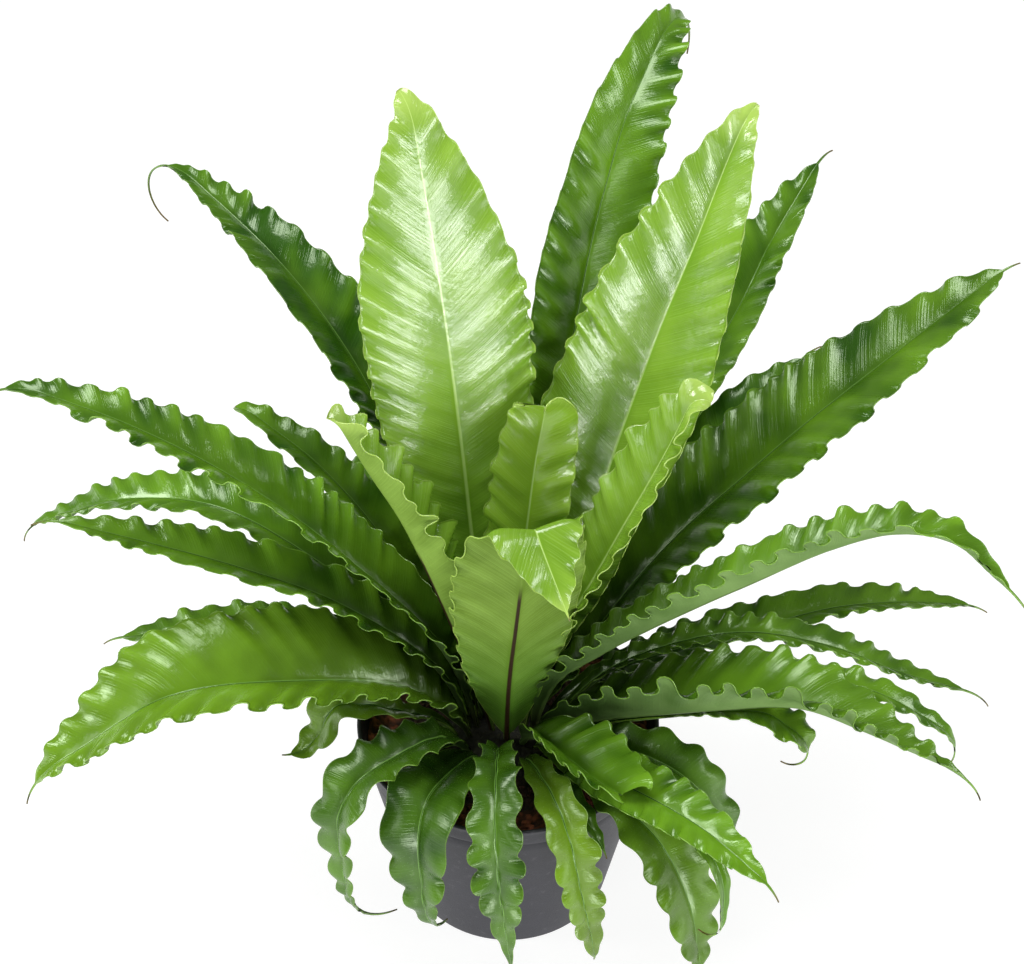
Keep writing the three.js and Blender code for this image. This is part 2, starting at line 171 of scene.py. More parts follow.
# Lights: name, place, the height on the axis that it points at, size, and radiance
LIGHTS = [
    ("overhead", (-0.2, 0.1, 2.3), 0.3, (1.1, 0.9), 9.0),
    ("left", (-1.6, -0.3, 1.3), 0.3, (0.55, 0.55), 15.0),
    ("front_left", (-1.1, -1.7, 1.2), 0.3, (0.7, 0.7), 3.5),
    ("right", (1.8, -0.6, 1.25), 0.3, (0.6, 0.6), 10.0),
    ("front_low", (0.15, -1.2, 0.12), 0.4, (0.7, 0.25), 13.0),
    ("right_low", (1.4, -0.85, 0.32), 0.35, (0.8, 0.5), 2.5),
    ("left_low", (-1.5, 0.1, 0.32), 0.35, (0.8, 0.5), 2.5),
]

# Fronds: azimuth in degrees from +X towards +Y, with swing added from base to tip. foot is the
# stalk's distance from the axis. path is (reach, height) from above the neck to where the tip
# starts to curl, and curl is (length, turn in degrees) of the tip. thread is how much of the end
# is a bare thread, half the half width, peak the place of the widest point, flare and taper how
# the width rises and falls, fold the rise of the two halves and roll the turn about the midrib
# (base, tip) in degrees, and wave the height of the edge's waves.
FRONDS = [
    dict(foot=8, azimuth=126, path=[(24, 210), (41, 300), (55, 388), (69, 463), (84, 530)],
         curl=[26, 60], half=48, peak=0.66, flare=2.4, taper=0.95, fold=[14, -8], roll=[-14, -32],
         wave=2.2, thread=4, young=True),
    dict(foot=9, azimuth=68, swing=-4,
         path=[(36, 210), (77, 343), (105, 406), (134, 454), (158, 490), (194, 514)],
         curl=[80, 150], half=33, peak=0.55, flare=2, fold=[30, 16], roll=[28, 36], thread=30),
    dict(foot=16, azimuth=36,
         path=[(48, 222), (84, 333), (114, 412), (138, 466), (161, 513)], curl=[18, 40],
         half=50, peak=0.6, flare=2.4, taper=0.85, fold=[32, 26], roll=[14, 32], wave=2.2,
         thread=4, young=True),
    dict(foot=23, azimuth=50,
         path=[(70, 200), (140, 272), (222, 332), (256, 368), (300, 396)], curl=[24, 50],
         half=27, peak=0.62),
    dict(foot=16, azimuth=140,
         path=[(42, 224), (86, 320), (130, 376), (180, 413), (244, 437)], curl=[84, 190],
         half=28, peak=0.52, taper=0.8, thread=60),
    dict(foot=16, azimuth=20,
         path=[(40, 172), (98, 250), (158, 301), (237, 359), (304, 404)], curl=[20, 30],
         half=41, peak=0.55, fold=[30, 8], thread=12),
    dict(foot=24, azimuth=38, path=[(60, 172), (120, 231), (180, 287), (232, 312)], curl=[20, 40],
         half=24, peak=0.6),
    dict(foot=0, azimuth=52, path=[(5, 190), (18, 280), (28, 340), (33, 364)], curl=[26, -150],
         half=25, peak=0.7, taper=0.5, fold=[30, 0], roll=[10, 26], wave=1.8, thread=4, young=True),
    dict(foot=9, azimuth=191, path=[(21, 180), (42, 256), (61, 314), (80, 358), (93, 390)],
         curl=[14, 120], half=26, peak=0.62, flare=1.3, fold=[56, 40], wave=2.4, thread=12, young=True),
    dict(foot=9, azimuth=355, path=[(27, 200), (61, 290), (79, 336), (91, 368), (101, 398)],
         curl=[16, 120], half=26, peak=0.72, flare=2.8, fold=[44, 30], wave=2.2, thread=12, young=True),
    dict(foot=9, azimuth=264, swing=28,
         path=[(18, 170), (30, 235), (40, 300), (46, 336), (53, 345), (61, 339)], curl=[44, 20],
         half=40, peak=0.6, flare=1.1, fold=[24, 0], wave=2.2, thread=6, young=True),
    dict(foot=18, azimuth=176,
         path=[(39, 199), (95, 270), (157, 329), (220, 370), (258, 386)], curl=[46, 70],
         half=27),
    dict(foot=24, azimuth=163,
         path=[(60, 195), (120, 241), (186, 270), (249, 260), (304, 229)], curl=[34, 50],
         half=21, fold=[30, 20]),
    dict(foot=23, azimuth=180,
         path=[(42, 184), (100, 240), (153, 268), (210, 290), (254, 304)], curl=[26, 50],
         half=22, fold=[30, 20]),
    dict(foot=18, azimuth=152,
         path=[(40, 174), (68, 222), (97, 268), (130, 299), (168, 319)], curl=[20, 50],
         half=19, peak=0.55),
    dict(foot=24, azimuth=196,
         path=[(34, 150), (67, 188), (140, 214), (210, 220), (268, 190)], curl=[50, 50],
         half=47, peak=0.46, flare=1.4, taper=0.8, fold=[32, 24], wave=3),
    dict(foot=32, azimuth=168, path=[(70, 162), (140, 184), (200, 178), (250, 160)], curl=[20, 30],
         half=20, fold=[25, 15]),
    dict(foot=32, azimuth=201, path=[(44, 154), (70, 173), (94, 187), (109, 191), (117, 184), (120, 176)],
         curl=[34, -100], half=13, peak=0.72, flare=2.5, fold=[30, 10], roll=[0, -20], thread=6),
    dict(foot=32, azimuth=226,
         path=[(62, 170), (100, 181), (128, 180), (143, 164), (144, 122)], curl=[98, 70],
         half=19, peak=0.36, flare=2, taper=1.5, fold=[25, 15], thread=20),
    dict(foot=32, azimuth=236, swing=14,
         path=[(70, 156), (106, 166), (122, 150), (128, 115)], curl=[60, 80],
         half=25, peak=0.42, taper=1, fold=[20, 10], thread=6),
    dict(foot=29, azimuth=261, swing=10,
         path=[(50, 166), (85, 177), (107, 168), (121, 143), (127, 105), (127, 62)],
         curl=[14, 30], half=19, taper=1.1, fold=[30, 0], wave=3, thread=4),
    dict(foot=32, azimuth=284, swing=10, path=[(50, 152), (90, 160), (116, 145), (128, 105), (131, 62)],
         curl=[14, 30], half=14, peak=0.5, fold=[30, 10], wave=2.2, thread=6),
    dict(foot=23, azimuth=314,
         path=[(40, 143), (70, 152), (95, 158), (139, 168), (172, 172), (204, 169)], curl=[24, 50],
         half=20, peak=0.45, fold=[20, 16], roll=[14, 10], thread=14),
    dict(foot=15, azimuth=306, path=[(28, 148), (60, 158), (92, 165), (116, 173)], curl=[14, 20],
         half=31, peak=0.58, taper=0.5, fold=[46, 34], roll=[-18, -12], thread=4),
    dict(foot=32, azimuth=313, path=[(60, 139), (95, 143), (117, 140), (138, 130), (162, 97), (173, 61)],
         curl=[12, 20], half=21, peak=0.65, fold=[20, 5], thread=6),
    dict(foot=37, azimuth=322, swing=-11,
         path=[(70, 147), (92, 149.5), (115, 151), (152, 155), (174, 149), (184, 137), (189, 116)],
         curl=[30, 120], half=7, peak=0.55, flare=2, fold=[20, 10], wave=1.2, thread=22),
    dict(foot=35, azimuth=333,
         path=[(60, 147), (90, 152), (108, 151), (128, 142), (142, 124), (154, 104)], curl=[36, 160],
         half=20, fold=[25, 15], roll=[16, 0], thread=26),
    dict(foot=23, azimuth=341,
         path=[(29, 143), (60, 162), (99, 181), (140, 199), (182, 212), (222, 206), (262, 197)],
         curl=[44, 60], half=41, peak=0.42, flare=1, taper=1.2, fold=[42, 34], roll=[-26, -12], wave=3),
    dict(foot=15, azimuth=338,
         path=[(30, 184), (60, 221), (91, 254), (142, 304), (190, 350), (228, 374), (258, 377), (282, 361)],
         curl=[36, 30], half=21, fold=[50, 44], thread=26),
    dict(foot=24, azimuth=14, path=[(60, 163), (113, 175), (160, 181), (209, 188), (257, 181), (293, 171)],
         curl=[32, 30], half=18, fold=[30, 20]),
    dict(foot=28, azimuth=3.5,
         path=[(60, 178), (110, 204), (148, 208), (204, 190), (243, 168), (288, 147)], curl=[26, 40],
         half=13, peak=0.6, flare=2, fold=[30, 15], thread=26),
    dict(foot=36, azimuth=352, swing=-2.5,
         path=[(60, 154), (110, 180), (150, 198), (190, 209), (226, 204), (258, 187)],
         curl=[46, 100], half=11, peak=0.68, fold=[25, 15], wave=2),
    dict(foot=33, azimuth=346, swing=-5,
         path=[(60, 153), (105, 174), (140, 190), (163, 196), (178, 190)], curl=[45, 190],
         half=14, peak=0.8, flare=10, fold=[24, 10], thread=26),
    dict(foot=30, azimuth=214, path=[(42, 143), (60, 150), (78, 153), (92, 150)], curl=[16, 60],
         half=8, peak=0.55, flare=2.5, fold=[30, 10], thread=4),
    dict(foot=30, azimuth=298, path=[(50, 140), (75, 146), (95, 147), (110, 144)], curl=[18, 40],
         half=8, flare=2.5, fold=[15, 0], thread=6),
    dict(foot=31, azimuth=66, path=[(70, 175), (120, 210), (180, 228), (220, 210)], curl=[30, 30],
         half=30, fold=[30, 15], wave=2.8),
    dict(foot=24, azimuth=87, path=[(60, 190), (110, 235), (160, 250), (200, 235)], curl=[30, 30],
         half=28, fold=[30, 15], wave=2.8),
    dict(foot=31, azimuth=106, path=[(70, 175), (130, 205), (190, 200), (230, 180)], curl=[30, 30],
         half=30, fold=[30, 15], wave=2.8),
    dict(foot=24, azimuth=128, path=[(60, 180), (110, 222), (150, 235), (180, 225)], curl=[30, 30],
         half=28, fold=[30, 15], wave=2.8),
]
FROND_SHAPE = dict(swing=0, thread=18, peak=0.5, flare=1.5, taper=0.65, fold=[40, 20], roll=[0, 0],
                   wave=2.6, young=False, tint=0, shade=0, edges=(1, 1), tip=0.8, pleat=1)

# What the look of single fronds adds: tint is how yellow, shade how light, edges how strong the
# waves are on the side towards -azimuth and on the other one, tip the half width where the thread
# starts and pleat how strong the pleats are. Any other key stands in for the table's value.
LOOKS = {
    1: dict(tint=0.15, shade=0.25, tip=4, thread=2, edges=(1.0, 0.9), pleat=0.5),
    2: dict(shade=0.1, edges=(0.8, 0.8)),
    3: dict(tint=0.15, shade=0.25, tip=3, thread=2, edges=(0.8, 0.95)),
    4: dict(shade=-0.05, edges=(0.7, 0.55)),
    5: dict(shade=-0.2, edges=(0.5, 0.9)),
    6: dict(shade=0.1, edges=(1.0, 0.45)),
    7: dict(shade=-0.3, edges=(0.8, 0.5)),
    8: dict(tint=0.3, shade=0.4, tip=11, thread=0, pleat=0.6),
    9: dict(tint=0.2, shade=0.25, tip=7, thread=1, edges=(0.7, 0.8), curl=[14, 40]),
    10: dict(tint=0.2, shade=0.2, tip=6, thread=1, edges=(1.0, 0.8), roll=[18, 22], fold=[40, 22]),
    11: dict(tint=0.2, shade=-0.2, pleat=0.2, edges=(1.1, 0.8), taper=0.85),
    12: dict(shade=0.1, edges=(0.5, 1)),
    13: dict(shade=0.2, edges=(0.5, 0.8)),
    14: dict(shade=0.15, edges=(0.55, 0.8)),
    15: dict(shade=0.1, tip=3, thread=2, edges=(0.6, 0.8)),
    16: dict(shade=0.3, tint=0.15, edges=(0.55, 1.3)),
    17: dict(shade=0.2, edges=(0.6, 0.8)),
    18: dict(tint=0.2, shade=0.2),
    19: dict(shade=0.1),
    20: dict(shade=-0.1, taper=1.5),
    21: dict(edges=(1.2, 1.2), shade=-0.1, half=16, taper=1.2),
    22: dict(tint=0.25, shade=0.2),
    23: dict(shade=0.15, edges=(1.4, 0.7)),
    24: dict(shade=0.1, edges=(1.8, 1.0), tip=7, thread=0),
    25: dict(shade=0.2, tint=0.1),
    28: dict(shade=0.25, edges=(1.7, 0.65)),
    29: dict(shade=0.2, edges=(1.7, 0.5)),
    30: dict(shade=0.2, edges=(1, 0.5)),
    31: dict(shade=0.1, edges=(1.3, 0.6)),
    32: dict(shade=0.1, edges=(1, 0.6)),
    33: dict(shade=0.1, tint=0.1),
    34: dict(edges=(1.6, 1.6)),
}

# Fronds with long, loose waves that lie turn about on the two sides
LOOSE_FRONDS = (18, 19, 20, 21, 22, 25, 27, 34, 35)


def smooth(x):
    x = np.clip(x, 0, 1)
    return x * x * (3 - 2 * x)


def mixed(a, b, part):
    return a + (b - a) * part


def line_noise(rng, length, spacing):
    """Smooth random values from -1 to 1 along a line, given the distance along it."""
    count = int(length / spacing) + 4
    knots = rng.uniform(-1, 1, count)

    def at(x):
        place = np.clip(np.asarray(x) / spacing + 1, 0, count - 1.001)
        k = place.astype(int)
        part = smooth(place - k)
        return knots[k] * (1 - part) + knots[k + 1] * part

    return at


def uneven(rng, x, size, spacing):
    """Smooth random values of up to this size at the distances x along a blade."""
    return size * line_noise(rng, x[-1], spacing)(x)


def grown(x, start, length):
    """0 up to start and 1 from start + length on, with a smooth rise between the two."""
    return smooth((x - start) / length)


def stem_curve(points):
    """Centripetal curve through the points of a frond's path."""
    points = np.array(points, float)
    points = np.vstack([2 * points[0] - points[1], points, 2 * points[-1] - points[-2]])
    t = np.linspace(0, 1, STEM_DIVISIONS, endpoint=False)[:, None]
    pieces = []
    for k in range(1, len(points) - 2):
        p0, p1, p2, p3 = points[k - 1:k + 3]
        gap0, gap1, gap2 = (np.linalg.norm(b - a) ** 0.5 for a, b in ((p0, p1), (p1, p2), (p2, p3)))
        leave = ((p1 - p0) / gap0 - (p2 - p0) / (gap0 + gap1) + (p2 - p1) / gap1) * gap1
        reach = ((p2 - p1) / gap1 - (p3 - p1) / (gap1 + gap2) + (p3 - p2) / gap2) * gap1
        pieces.append(
            p1 + leave * t + (3 * (p2 - p1) - 2 * leave - reach) * t ** 2
            + (2 * (p1 - p2) + leave + reach) * t ** 3
        )
    return np.vstack([*pieces, points[-2:-1]])


def spine_of(frond):
    """Points of the midrib in its own upright plane, and the distance along it of each."""
    foot = [(frond["foot"], STALK_FOOT), (frond["foot"] + NECK_LEAN, NECK_HEIGHT)]
    stem = stem_curve([*foot, *frond["path"]])
    length, turn = frond["curl"]
    heading = math.atan2(*(stem[-1] - stem[-2])[::-1])
    part = (np.arange(TAIL_STEPS) + 0.5) / TAIL_STEPS
    angle = heading - math.radians(turn) * part * (0.5 + 0.5 * part)
    steps = length / TAIL_STEPS * np.stack([np.cos(angle), np.sin(angle)], 1)
    line = np.vstack([stem, stem[-1] + np.cumsum(steps, 0)])
    along = np.concatenate([[0], np.cumsum(np.linalg.norm(np.diff(line, axis=0), axis=1))])
    return line, along


def half_width(frond, s, total):
    start = STALK_LENGTH / total
    end = 1 - frond["thread"] / total
    peak = frond["peak"]
    rise = np.clip((s - start) / (peak - start), 0, 1)
    fall = np.clip((s - peak) / (end - peak), 0, 1)
    swell = np.sin(math.pi / 2 * rise) ** (FLARE_SHARE * frond["flare"])
    wide = STALK_HALF + (frond["half"] - STALK_HALF) * swell
    tip = frond["tip"]
    narrow = tip + (frond["half"] - tip) * np.abs(np.cos(math.pi / 2 * fall)) ** frond["taper"]
    thread = mixed(1, THREAD_SHARE, smooth((s - end) / (1 - end)))
    return np.where(s <= peak, wide, narrow) * thread


def rows_across(half):
    """Distances from the midrib of the points on one side of a blade, for each half width."""
    half = half[:, None]
    near = np.minimum(np.array(NEAR_RIB), half * np.array(NEAR_RIB_SHARE))
    rest = near[:, -1:] + (half - near[:, -1:]) * np.array(TO_EDGE)
    return np.hstack([near, rest])


# How a blade is waved. length is one wave at the edge, depth how far in the waves reach, pleat
# the height of the pleats that run in from them, inner how far in the pleats are seen as a share
# of the width, lean how far the pleats run towards the tip, loop how far the waves fold over, out
# how far they stand out sideways, gain what the frond's wave height is multiplied by, and lag how
# far the height trails the sideways part, in radians. arch is how much each half bulges as a share
# of the width, and groove the depth of the groove over the midrib, a ridge where it is negative.
# Lengths are in millimetres.
MATURE_WAVES = dict(length=17.5, depth=5.2, pleat=1.4, inner=0.8, lean=0.62, loop=0.45, out=0.75,
                    gain=0.62, arch=0.06, groove=0.8, lag=0)
LOOSE_WAVES = dict(length=24, depth=7.5, pleat=0.8, inner=0.6, lean=0.2, loop=0.1, out=2.0,
                   gain=1.0, arch=0.1, groove=0.7, lag=math.pi / 2)
YOUNG_WAVES = dict(length=18, depth=5.5, pleat=1.9, inner=0.8, lean=0.8, loop=0.3, out=0.9,
                   gain=0.75, arch=0.05, groove=-0.35, lag=0)


def unit(v):
    return v / np.maximum(np.linalg.norm(v, axis=-1, keepdims=True), 1e-12)


def midrib(frond, rng):
    """Of a frond's steps: share of its length, distance, point, tangent, side and normal."""
    line, along = spine_of(frond)
    total = along[-1]
    s = np.linspace(0, 1, round(total / STEP) + 1)
    x = s * total
    reach, height = (np.interp(x, along, line[:, k]) for k in (0, 1))
    angle = np.radians(frond["azimuth"] + frond["swing"] * s)
    flat = np.stack([-np.sin(angle), np.cos(angle), 0 * s], 1)
    point = np.stack([reach * np.cos(angle), reach * np.sin(angle), height], 1)
    sway = uneven(rng, x, *SWAY) * grown(x, *SWAY_START)
    point += flat * sway[:, None]
    tangent = unit(np.gradient(point, axis=0))
    side = unit(flat - tangent * np.sum(flat * tangent, 1, keepdims=True))
    turn = np.radians(mixed(*frond["roll"], s) + uneven(rng, x, *TWIST))[:, None]
    side = side * np.cos(turn) + np.cross(tangent, side) * np.sin(turn)
    return s, x, point, tangent, side, np.cross(tangent, side)


def wave_along(waves, rng, x, half):
    """Length and phase of the waves on one side at the distances x along a blade."""
    wave = waves["length"] * mixed(SHORTEST_WAVE, 1, smooth(half / FULL_LENGTH_HALF))
    wave = wave * (1 + uneven(rng, x, *UNEVEN_LENGTH))
    phase = np.cumsum(2 * math.pi * x[-1] / (len(x) - 1) / wave)
    return wave, phase + rng.uniform(0, 2 * math.pi)


def frond_surface(frond, rng):
    """Upper and lower face of a frond as grids of points, with what its colours need."""
    s, x, point, tangent, side, normal = midrib(frond, rng)
    waves = YOUNG_WAVES if frond["young"] else LOOSE_WAVES if frond["loose"] else MATURE_WAVES
    half = half_width(frond, s, x[-1])
    room = smooth(half / FULL_HEIGHT_HALF) * grown(x, *WAVES_START)
    open_share = smooth(s / STALK_SHARE)
    fold = np.radians(mixed(*frond["fold"], s))[:, None]
    sides = []
    for hand in (-1, 1):
        width = half * (1 + uneven(rng, x, *UNEVEN_WIDTH))
        across = rows_across(width)
        width = width[:, None]
        edge = width - across
        u = across / width
        wave, phase = wave_along(waves, rng, x, half)
        if frond["loose"] and hand > 0:
            phase = first_phase + math.pi
        first_phase = phase
        strength = room * (1 + uneven(rng, x, *UNEVEN_STRENGTH))
        sheared = x[:, None] + waves["lean"] * edge
        phi = np.interp(sheared, x, phase)
        amount = np.interp(sheared, x, strength)

        ruffle = np.exp(-(edge / waves["depth"]) ** RUFFLE_POWER)
        rippled = np.cos(phi - waves["lag"])
        rippled += SLOW_RUFFLE * np.cos(0.5 * phi + rng.uniform(0, ANY_PHASE))
        force = frond["edges"][(hand + 1) // 2]
        broad = UNEVEN_PLEATS[0] + uneven(rng, x, *UNEVEN_PLEATS)
        pleated = np.cos(phi) * np.interp(sheared, x, broad) + QUICK_PLEAT * np.cos(2 * phi)
        pleated += SLOW_PLEAT * np.cos(0.5 * phi + rng.uniform(0, ANY_PHASE))
        pleated *= amount
        inner = np.exp(-(edge / (waves["inner"] * width)) ** 2)
        inner *= 1 - np.exp(-(across / PLEAT_MARGIN) ** 2)

        rise = across * np.sin(fold) + waves["arch"] * width * 4 * u * (1 - u)
        rise += frond["wave"] * waves["gain"] * force * amount * ruffle * rippled
        rise += waves["pleat"] * frond["pleat"] * pleated * inner
        groove = np.exp(-(across / GROOVE_WIDTH) ** 2) * (open_share * (1 - s))[:, None]
        rise -= waves["groove"] * groove
        out = across * np.cos(fold) + waves["out"] * force * amount * ruffle * np.cos(phi)
        slide = waves["loop"] * np.interp(sheared, x, wave) / (2 * math.pi) * np.sin(2 * phi)
        slide *= np.minimum(force * amount, MOST_SLIDE) * ruffle
        place = (point[:, None] + hand * side[:, None] * out[..., None]
                 + normal[:, None] * rise[..., None] + tangent[:, None] * slide[..., None])
        # The last value is the pleats' height, which the blade's colour turns into painted shade in the
        # valleys and painted light on the crests
        looks = np.stack([hand * across, edge, sheared, pleated * inner], -1)
        if hand < 0:
            place, looks = place[:, ::-1], looks[:, ::-1]
        sides.append((place, looks))
    dip = waves["groove"] * open_share * (1 - s)
    middle = (point - normal * dip[:, None])[:, None]
    middle_looks = np.stack([0 * s, half, x, 0 * s], -1)[:, None]
    upper = np.concatenate([sides[0][0], middle, sides[1][0]], 1)
    looks = np.concatenate([sides[0][1], middle_looks, sides[1][1]], 1)
    lower = upper - thickness(upper, looks, half, s, open_share)
    return upper, lower, looks, s, x[-1]


def thickness(upper, looks, half, s, open_share):
    """From each point of a blade's upper face, the way to the lower one."""
    facing = unit(np.cross(np.gradient(upper, axis=0), np.gradient(upper, axis=1)))
    off = np.abs(looks[..., 0])
    stalk = (STALK_THICKNESS - BLADE_THICKNESS) * (1 - open_share)
    share = off / np.maximum(half, 0.1)[:, None]
    thick = BLADE_THICKNESS + stalk[:, None] * (1 - STALK_ROUNDING * np.clip(share, 0, 1) ** 2)
    rib = RIB_DEPTH * ((1 - s) * open_share)[:, None] * np.exp(-(off / RIB_WIDTH) ** 2)
    return facing * (thick + rib)[..., None]


def grid_faces(rows, columns, offset=0, turned=False):
    i, j = np.meshgrid(np.arange(rows - 1), np.arange(columns - 1), indexing="ij")
    a = (i * columns + j).ravel() + offset
    faces = np.stack([a, a + columns, a + columns + 1, a + 1], 1)
    return faces[:, ::-1] if turned else faces


def shell_faces(rows, columns):
    """Faces of a closed shell between two grids, upper first, then lower, then the rim."""
    count = rows * columns
    ids = np.arange(count).reshape(rows, columns)
    border = np.concatenate([ids[:, 0], ids[-1, 1:], ids[-2::-1, -1], ids[0, -2:0:-1]])
    after = np.roll(border, -1)
    rim = np.stack([border, border + count, after + count, after], 1)
    return grid_faces(rows, columns), grid_faces(rows, columns, count, turned=True), rim[:, ::-1]


def make_piece(name, node, places, faces, materials, material_index=None, values=None):
    """A mesh object in place of a CAD node, from places in millimetres."""
    mesh = bpy.data.meshes.new(name)
    mesh.from_pydata((np.asarray(places) * MM).tolist(), [], [list(map(int, f)) for f in faces])
    for key, value in (values or {}).items():
        layer = mesh.attributes.new(key, "FLOAT_VECTOR", "POINT")
        layer.data.foreach_set("vector", np.ascontiguousarray(value, np.float32).ravel())
    for material in materials:
        mesh.materials.append(material)
    if material_index is not None:
        mesh.polygons.foreach_set("material_index", np.asarray(material_index, np.int32))
    mesh.polygons.foreach_set("use_smooth", np.ones(len(mesh.polygons), bool))
    mesh.update()
    piece = bpy.data.objects.new(name, mesh)
    bpy.context.scene.collection.objects.link(piece)
    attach(piece, "root")
    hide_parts(node)


def make_frond(number, frond, materials):
    rng = np.random.default_rng(SEED * 100 + number)
    upper, lower, looks, s, total = frond_surface(frond, rng)
    rows, columns = upper.shape[:2]
    top, bottom, rim = shell_faces(rows, columns)
    along = np.repeat(s[:, None], columns, 1)
    end = 1 - frond["thread"] / total
    dry = smooth((along - mixed(end, 1, DRY_START)) / max(1 - end, 0.01) * DRY_PACE)
    place = looks[..., :3]
    tone = np.stack([looks[..., 3], along, dry], -1)
    kind = np.broadcast_to(np.array([frond["tint"], frond["shade"], 0.0]), place.shape)
    values = {
        key: np.concatenate([v.reshape(-1, 3)] * 2)
        for key, v in (("place", place), ("tone", tone), ("kind", kind))
    }
    places = np.concatenate([upper.reshape(-1, 3), lower.reshape(-1, 3)])
    index = np.concatenate([np.zeros(len(top)), np.ones(len(bottom)), np.zeros(len(rim))])
    name = f"frond_{number:02d}"
    make_piece(
        name + "_blade", name, places,
        np.concatenate([top, bottom, rim]), materials, index, values,
    )


class Shader:
    """A material of one Principled shader and the nodes that feed it."""

    def __init__(self, name):
        self.material = bpy.data.materials.new(name)
        self.material.use_nodes = True
        self.tree = self.material.node_tree
        self.tree.nodes.clear()
        self.surface = self.node("ShaderNodeBsdfPrincipled")
        output = self.node("ShaderNodeOutputMaterial")
        self.tree.links.new(self.surface.outputs[0], output.inputs["Surface"])

    def node(self, kind, **settings):
        made = self.tree.nodes.new(kind)
        for key, value in settings.items():
            setattr(made, key, value)
        return made

    def feed(self, socket, value):
        if isinstance(value, bpy.types.NodeSocket):
            self.tree.links.new(value, socket)
        elif isinstance(value, tuple) and len(value) == 3:
            socket.default_value = (*value, 1)
        else:
            socket.default_value = value

    def set(self, name, value):
        self.feed(self.surface.inputs[name], value)

    def math(self, operation, *values):
        made = self.node("ShaderNodeMath", operation=operation)
        for k, value in enumerate(values):
            self.feed(made.inputs[k], value)
        return made.outputs[0]

    def times(self, *values):
        first, *rest = values
        for value in rest:
            first = self.math("MULTIPLY", first, value)
        return first

    def plus(self, *values):
        first, *rest = values
        for value in rest:
            first = self.math("ADD", first, value)
        return first

    def step(self, value, low, high):
        """0 below low and 1 above high, or the other way round where low is the larger."""
        made = self.node("ShaderNodeMapRange", interpolation_type="SMOOTHSTEP")
        self.feed(made.inputs["Value"], value)
        ends = (low, high, 0.0, 1.0) if low < high else (high, low, 1.0, 0.0)
        for key, end in zip(("From Min", "From Max", "To Min", "To Max"), ends):
            made.inputs[key].default_value = end
        return made.outputs[0]

    def mix(self, factor, a, b):
        made = self.node("ShaderNodeMix", data_type="RGBA")
        self.feed(made.inputs[0], factor)
        self.feed(made.inputs[6], a)
        self.feed(made.inputs[7], b)
        return made.outputs[2]

    def attribute(self, name):
        made = self.node("ShaderNodeAttribute", attribute_name=name)
        split = self.node("ShaderNodeSeparateXYZ")
        self.tree.links.new(made.outputs["Vector"], split.inputs[0])
        return split.outputs[:]

    def noise(self, scale, detail=2, rough=0.5, stretch=None):
        made = self.node("ShaderNodeTexNoise")
        made.inputs["Scale"].default_value = scale
        made.inputs["Detail"].default_value = detail
        made.inputs["Roughness"].default_value = rough
        place = self.node("ShaderNodeTexCoord").outputs["Object"]
        if stretch:
            grown = self.node("ShaderNodeVectorMath", operation="MULTIPLY")
            self.tree.links.new(place, grown.inputs[0])
            grown.inputs[1].default_value = stretch
            place = grown.outputs[0]
        self.tree.links.new(place, made.inputs["Vector"])
        return made.outputs["Fac"]

    def streaks(self, value, per_mm):
        """Uneven lines across a direction, from the distance along it."""
        made = self.node("ShaderNodeTexNoise", noise_dimensions="1D")
        self.feed(made.inputs["W"], value)
        made.inputs["Scale"].default_value = per_mm
        made.inputs["Detail"].default_value = 1
        return made.outputs["Fac"]

    def bump(self, height, distance):
        made = self.node("ShaderNodeBump")
        made.inputs["Strength"].default_value = 1.0
        made.inputs["Distance"].default_value = distance
        self.tree.links.new(height, made.inputs["Height"])
        self.tree.links.new(made.outputs[0], self.surface.inputs["Normal"])


def paint(red, green, blue):
    """A colour from 0 to 255 in sRGB, as the linear values that a shader takes."""
    return tuple(
        c / 12.92 if c <= 0.04045 else ((c + 0.055) / 1.055) ** 2.4
        for c in (red / 255, green / 255, blue / 255)
    )


# Paints of the blades. rib_half and rib_side_half are the half widths of the midrib and of the
# pale strip along it in millimetres, and pale_tip, rim and veins how strong those marks are.
# gloss is the roughness, shine how much it mirrors and sheen the tint of what it mirrors. The
# darkest green, towards a frond's base, is painted shade.
BROWN = paint(98, 66, 28)
STALK_BROWN = paint(48, 34, 16)
MATURE = dict(dark=paint(42, 84, 8), light=paint(112, 160, 34), yellow=paint(146, 172, 34),
              painted_base_shade=paint(20, 46, 3), under_dark=paint(72, 104, 42), under_light=paint(116, 146, 82),
              rib=paint(26, 60, 10), rib_side=paint(120, 165, 75), margin=paint(140, 178, 76),
              under_rib=paint(84, 110, 52), rib_half=0.3, rib_side_half=0.95, pale_tip=0, rim=0.35,
              veins=0.05, gloss=0.15, shine=0.7, sheen=(0.85, 1.0, 0.74))
LOOSE = dict(MATURE, gloss=0.22, dark=paint(30, 66, 4), light=paint(90, 134, 26))
YOUNG = dict(dark=paint(84, 134, 22), light=paint(128, 172, 52), yellow=paint(158, 188, 50),
             painted_base_shade=paint(58, 112, 12), under_dark=paint(62, 94, 22), under_light=paint(122, 156, 70),
             rib=paint(176, 208, 116), rib_side=paint(160, 198, 92), margin=paint(182, 212, 104),
             under_rib=paint(44, 26, 8), rib_half=0.9, rib_side_half=1.5, pale_tip=0.7, rim=0.6,
             veins=0.2, gloss=0.14, shine=0.8, sheen=(1.0, 1.0, 1.0))

# Where along a frond a mark of its blade starts and is at its full strength, as shares
PAINTED_SHADE_ALONG = (0.55, 0.12)
UNDER_RIB_ALONG = (0.62, 0.56)
PALE_TIP_ALONG = (0.93, 0.99)
BROWN_FOOT_ALONG = (0.13, 0.02)

# The same across a blade, in millimetres from the midrib or, for the rim, from the edge
VEINS_ACROSS = (1.0, 4.0)
UNDER_RIB_ACROSS = (1.0, 0.35)
RIM_ACROSS = (0.7, 0.1)

# Veins for each millimetre along a blade, and the part of their noise that is a vein
VEINS_PER_MM = 1.1
VEIN_LEVELS = (0.42, 0.68)
